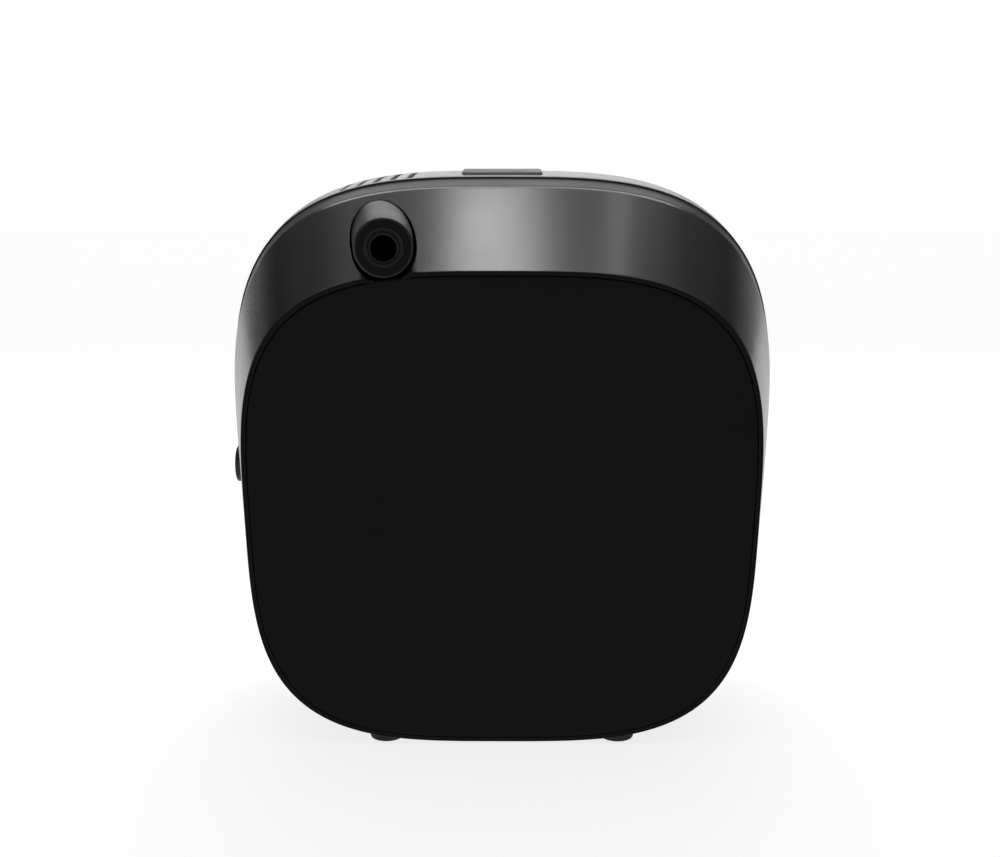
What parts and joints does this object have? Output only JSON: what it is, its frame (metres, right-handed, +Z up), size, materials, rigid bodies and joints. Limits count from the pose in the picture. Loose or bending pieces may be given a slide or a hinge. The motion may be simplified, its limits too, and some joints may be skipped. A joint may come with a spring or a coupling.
{
  "type": "tennis ball machine",
  "caption": "Compact free-standing ball thrower: rounded-square case flaring to a white dome with ball inlet lid and outlet, twin launch wheels on a tilting cradle inside.",
  "frame": {"origin": "centre of the bounding box at the floor, under the rubber feet", "axes": "+Z up from the floor; +Y the way the balls leave, seen from above; -Y the flat back plate; +X to the right seen from the back plate"},
  "size_m": [0.3032, 0.2386, 0.3035],
  "materials": {
    "satin_black_shell": "satin moulded plastic with a fine grain",
    "matt_black_plate": "matt moulded plastic",
    "grey_trim": "satin moulded plastic",
    "white_shell": "glossy moulded plastic",
    "black_rubber": "matt rubber",
    "dark_plastic": "moulded plastic",
    "button_grey": "satin plastic",
    "steel": "turned and ground",
    "zinc_steel": "zinc-plated sheet",
    "motor_can": "painted steel can",
    "brass": "turned",
    "white_nylon": "natural nylon",
    "circuit_green": "solder mask",
    "component_black": "moulded components",
    "battery_blue": "heat-shrink sleeve",
    "strap_black": "woven strap",
    "wheel_grey": "glass-filled nylon",
    "tread_rubber": "ground rubber tread",
    "light_lens": "clear light pipe"
  },
  "bodies": {
    "housing": {"back_plate": "matt_black_plate", "rear_housing": "satin_black_shell", "trim_ring": "grey_trim", "seam_seal": "black_rubber", "socket_barrel": "satin_black_shell", "socket_sleeve": "dark_plastic", "socket_pin": "component_black", "front_dome": "white_shell", "inlet_collar": "dark_plastic", "lid_hinge_pin": "steel", "outlet_bezel": "dark_plastic", "button_plate": "circuit_green", "top_switch": "component_black", "side_switch": "component_black", "status_light": "light_lens", "rubber_feet": "black_rubber", "tripod_insert": "brass", "equipment_tray": "zinc_steel", "battery_pack": "battery_blue", "battery_straps": "strap_black", "control_board": "circuit_green", "board_components": "component_black", "board_screws": "steel", "shell_screws": "steel", "cradle_bearings": "white_nylon", "tilt_motor": "motor_can", "tilt_motor_bracket": "zinc_steel", "feed_lane": "dark_plastic", "lane_brackets": "zinc_steel", "drop_chute": "dark_plastic", "ball_sensor": "component_black", "feed_bushes": "brass", "feed_motor": "motor_can", "feed_motor_bracket": "zinc_steel", "fan_frame": "dark_plastic", "small_screws": "steel"},
    "launch_cradle": {"cradle_frame": "zinc_steel", "launch_motor_left": "motor_can", "launch_motor_right": "motor_can", "motor_screws": "steel", "cradle_pins": "steel", "sector_gear": "white_nylon"},
    "wheel_left": {"wheel_shaft_left": "steel", "wheel_hub_left": "wheel_grey", "wheel_tyre_left": "tread_rubber"},
    "wheel_right": {"wheel_shaft_right": "steel", "wheel_hub_right": "wheel_grey", "wheel_tyre_right": "tread_rubber"},
    "tilt_drive": {"tilt_pinion": "brass", "tilt_motor_shaft": "steel"},
    "feeder": {"feed_shaft": "steel", "feed_star": "white_nylon", "feed_gear": "white_nylon"},
    "feeder_drive": {"feed_pinion": "brass", "feed_motor_shaft": "steel"},
    "fan": {"fan_rotor": "dark_plastic"},
    "lid": {"inlet_lid": "white_shell"},
    "power_button": {"top_button": "button_grey"},
    "mode_button": {"side_button": "dark_plastic"}
  },
  "joints": [
    {"name": "cradle_tilt", "type": "hinge", "parent": "housing", "child": "launch_cradle", "pos_m": [0, -0.00083, 0.10535], "axis": [1, 0, 0], "range_deg": [0, 15]},
    {"name": "tilt_drive_spin", "type": "hinge", "parent": "housing", "child": "tilt_drive", "pos_m": [0.12, -0.04689, 0.09598], "axis": [1, 0, 0], "range_deg": [-100, 10]},
    {"name": "wheel_left_spin", "type": "hinge", "parent": "launch_cradle", "child": "wheel_left", "pos_m": [-0.0745, 0.04131, 0.11392], "axis": [0, -0.1994, 0.9799], "continuous": true},
    {"name": "wheel_right_spin", "type": "hinge", "parent": "launch_cradle", "child": "wheel_right", "pos_m": [0.0745, 0.04131, 0.11392], "axis": [0, -0.1994, 0.9799], "continuous": true},
    {"name": "feeder_spin", "type": "hinge", "parent": "housing", "child": "feeder", "pos_m": [0, 0.00463, 0.17381], "axis": [1, 0, 0], "continuous": true},
    {"name": "feeder_drive_spin", "type": "hinge", "parent": "housing", "child": "feeder_drive", "pos_m": [0.046, -0.00075, 0.20027], "axis": [1, 0, 0], "continuous": true},
    {"name": "fan_spin", "type": "hinge", "parent": "housing", "child": "fan", "pos_m": [-0.066, 0.0212, 0.2629], "axis": [0, -0.1994, 0.9799], "continuous": true},
    {"name": "lid_hinge", "type": "hinge", "parent": "housing", "child": "lid", "pos_m": [0, 0.05754, 0.29295], "axis": [1, 0, 0], "range_deg": [0, 100]},
    {"name": "power_button_press", "type": "slide", "parent": "housing", "child": "power_button", "axis": [0, 0.1994, -0.9799], "range_m": [0, 0.0015], "stiffness_N_per_m": 900},
    {"name": "mode_button_press", "type": "slide", "parent": "housing", "child": "mode_button", "axis": [1, 0, 0], "range_m": [0, 0.0015], "stiffness_N_per_m": 900}
  ],
  "couplings": [
    {"joint": "tilt_drive_spin", "follows": "cradle_tilt", "ratio": -5.7143},
    {"joint": "feeder_drive_spin", "follows": "feeder_spin", "ratio": -2.8571}
  ]
}
